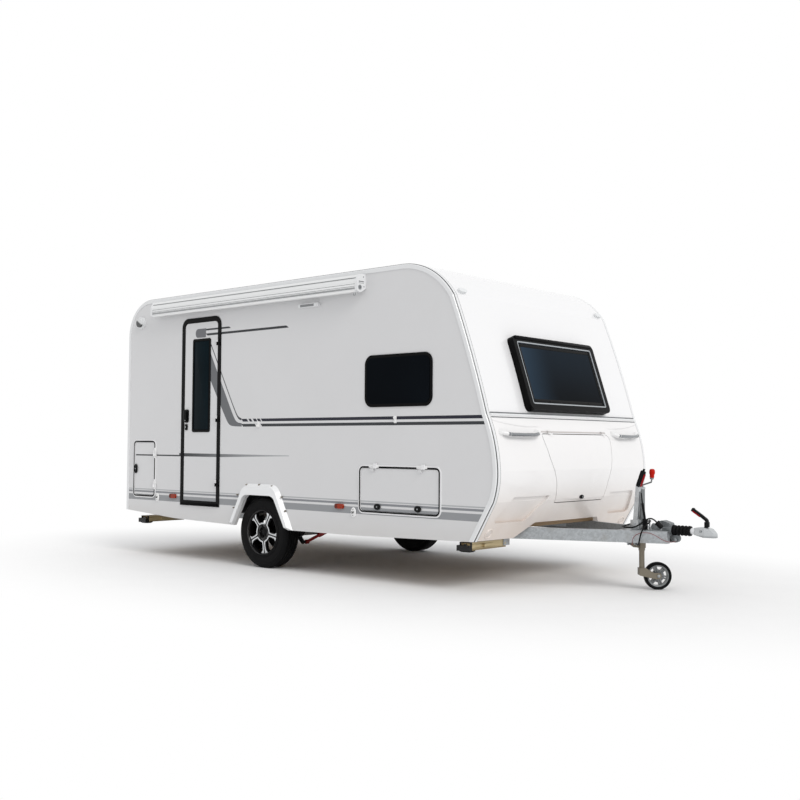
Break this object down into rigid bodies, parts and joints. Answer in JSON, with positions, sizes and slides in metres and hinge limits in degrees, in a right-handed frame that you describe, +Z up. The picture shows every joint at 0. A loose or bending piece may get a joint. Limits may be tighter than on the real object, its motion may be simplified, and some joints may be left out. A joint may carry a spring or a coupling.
{
  "type": "travel caravan",
  "caption": "Single axle touring caravan with a hollow body, hinged doors and lids, a steel drawbar with a coupling head, a jockey wheel and corner steadies.",
  "frame": {"origin": "on the ground under the middle of the overall length and width", "axes": "+X towards the tow coupling, +Y to the caravan's left, +Z up"},
  "size_m": [6.0751, 2.443, 2.69],
  "materials": {
    "body_white": "smooth white aluminium skin paint",
    "gloss_white": "gloss white acrylic capped moulding",
    "trim_white": "white edge moulding",
    "awning_white": "white powder coated extrusion",
    "board": "bonded wood board",
    "inner_grey": "grey moulded liner",
    "frame_black": "black screen printed frame",
    "window_tint": "dark tinted acrylic",
    "lamp_amber": "amber lens",
    "lamp_red": "red lens",
    "lamp_clear": "clear lens",
    "grip_silver": "satin silver grip",
    "black_plastic": "black moulded plastic",
    "galvanised": "hot dip galvanised steel",
    "cast_grey": "galvanised casting",
    "zinc": "zinc plated steel",
    "yellow_zinc": "yellow passivated zinc",
    "rubber_black": "black rubber",
    "tyre_black": "black tyre rubber",
    "alloy": "machined alloy with black paint",
    "brake_black": "dark cast brake drum",
    "axle_steel": "grey coated steel",
    "damper_red": "red paint",
    "cord_black": "black cable sheath",
    "cord_red": "red coated steel cable"
  },
  "bodies": {
    "root": {"side_wall_right": "body_white", "side_wall_left": "body_white", "corner_trims": "trim_white", "roof_panel": "body_white", "rear_panel": "gloss_white", "rear_bumper": "gloss_white", "front_panel": "gloss_white", "front_moulding": "gloss_white", "floor_panel": "board", "front_bulkhead": "board", "wheel_boxes": "inner_grey", "wheel_arch_trims": "gloss_white", "window_frames": "frame_black", "window_panes": "window_tint", "door_frames": "trim_white", "awning_cassette": "awning_white", "awning_end_caps": "gloss_white", "marker_lamps": "lamp_amber", "rear_lamps": "lamp_red", "wall_lamps": "lamp_clear", "grab_handles": "grip_silver", "fridge_vents": "gloss_white", "rooflights": "lamp_clear", "chassis_rails": "galvanised", "drawbar": "galvanised", "overrun_housing": "cast_grey", "bellows": "rubber_black", "coupling_head": "zinc", "coupling_handle": "black_plastic", "handbrake_lever": "zinc", "handbrake_strut": "black_plastic", "jockey_tube": "zinc", "axle_tube": "galvanised", "swing_arms": "axle_steel", "dampers": "damper_red", "steady_brackets": "galvanised", "towing_cable": "cord_black", "cable_plug": "black_plastic", "cable_bracket": "galvanised", "breakaway_cable": "cord_red"},
    "right_wheel": {"tyre_right": "tyre_black", "rim_right": "alloy", "drum_right": "brake_black"},
    "left_wheel": {"tyre_left": "tyre_black", "rim_left": "alloy", "drum_left": "brake_black"},
    "entrance_door": {"door_panel": "body_white", "door_window": "frame_black", "door_handle": "black_plastic"},
    "service_hatch": {"service_door": "body_white"},
    "locker_hatch": {"locker_door": "body_white"},
    "gas_lid": {"gas_door": "gloss_white"},
    "jockey_post": {"jockey_leg": "zinc"},
    "jockey_caster": {"jockey_fork": "zinc"},
    "jockey_roller": {"jockey_wheel": "rubber_black"},
    "steady_fr": {"steady_front_right": "yellow_zinc"},
    "steady_fl": {"steady_front_left": "yellow_zinc"},
    "steady_rr": {"steady_rear_right": "yellow_zinc"},
    "steady_rl": {"steady_rear_left": "yellow_zinc"}
  },
  "joints": [
    {"name": "right_wheel_spin", "type": "hinge", "parent": "root", "child": "right_wheel", "pos_m": [-0.88, -1.0375, 0.3245], "axis": [0, 1, 0], "continuous": true},
    {"name": "left_wheel_spin", "type": "hinge", "parent": "root", "child": "left_wheel", "pos_m": [-0.88, 1.0375, 0.3245], "axis": [0, 1, 0], "continuous": true},
    {"name": "entrance_door_swing", "type": "hinge", "parent": "root", "child": "entrance_door", "pos_m": [-1.521, -1.166, 1.4], "axis": [0, 0, 1], "range_deg": [0, 170]},
    {"name": "service_hatch_swing", "type": "hinge", "parent": "root", "child": "service_hatch", "pos_m": [-2.52, -1.166, 0.88], "axis": [0, 0, 1], "range_deg": [0, 165]},
    {"name": "locker_hatch_lift", "type": "hinge", "parent": "root", "child": "locker_hatch", "pos_m": [0.82, -1.166, 0.95], "axis": [-1, 0, 0], "range_deg": [0, 165]},
    {"name": "gas_lid_lift", "type": "hinge", "parent": "root", "child": "gas_lid", "pos_m": [1.803, 0, 1.24], "axis": [0, -1, 0], "range_deg": [0, 80]},
    {"name": "jockey_height", "type": "slide", "parent": "root", "child": "jockey_post", "axis": [0, 0, 1], "range_m": [0, 0.1]},
    {"name": "jockey_swivel", "type": "hinge", "parent": "jockey_post", "child": "jockey_caster", "pos_m": [2.4, 0, 0.19], "axis": [0, 0, 1], "continuous": true},
    {"name": "jockey_roll", "type": "hinge", "parent": "jockey_caster", "child": "jockey_roller", "pos_m": [2.49491, 0.08135, 0.1094], "axis": [-0.6508, 0.7593, 0], "continuous": true},
    {"name": "steady_fr_drop", "type": "hinge", "parent": "root", "child": "steady_fr", "pos_m": [1.48, -0.668, 0.357], "axis": [1, 0, 0], "range_deg": [0, 40]},
    {"name": "steady_fl_drop", "type": "hinge", "parent": "root", "child": "steady_fl", "pos_m": [1.48, 0.668, 0.357], "axis": [-1, 0, 0], "range_deg": [0, 40]},
    {"name": "steady_rr_drop", "type": "hinge", "parent": "root", "child": "steady_rr", "pos_m": [-2.74, -0.668, 0.357], "axis": [1, 0, 0], "range_deg": [0, 40]},
    {"name": "steady_rl_drop", "type": "hinge", "parent": "root", "child": "steady_rl", "pos_m": [-2.74, 0.668, 0.357], "axis": [-1, 0, 0], "range_deg": [0, 40]}
  ]
}
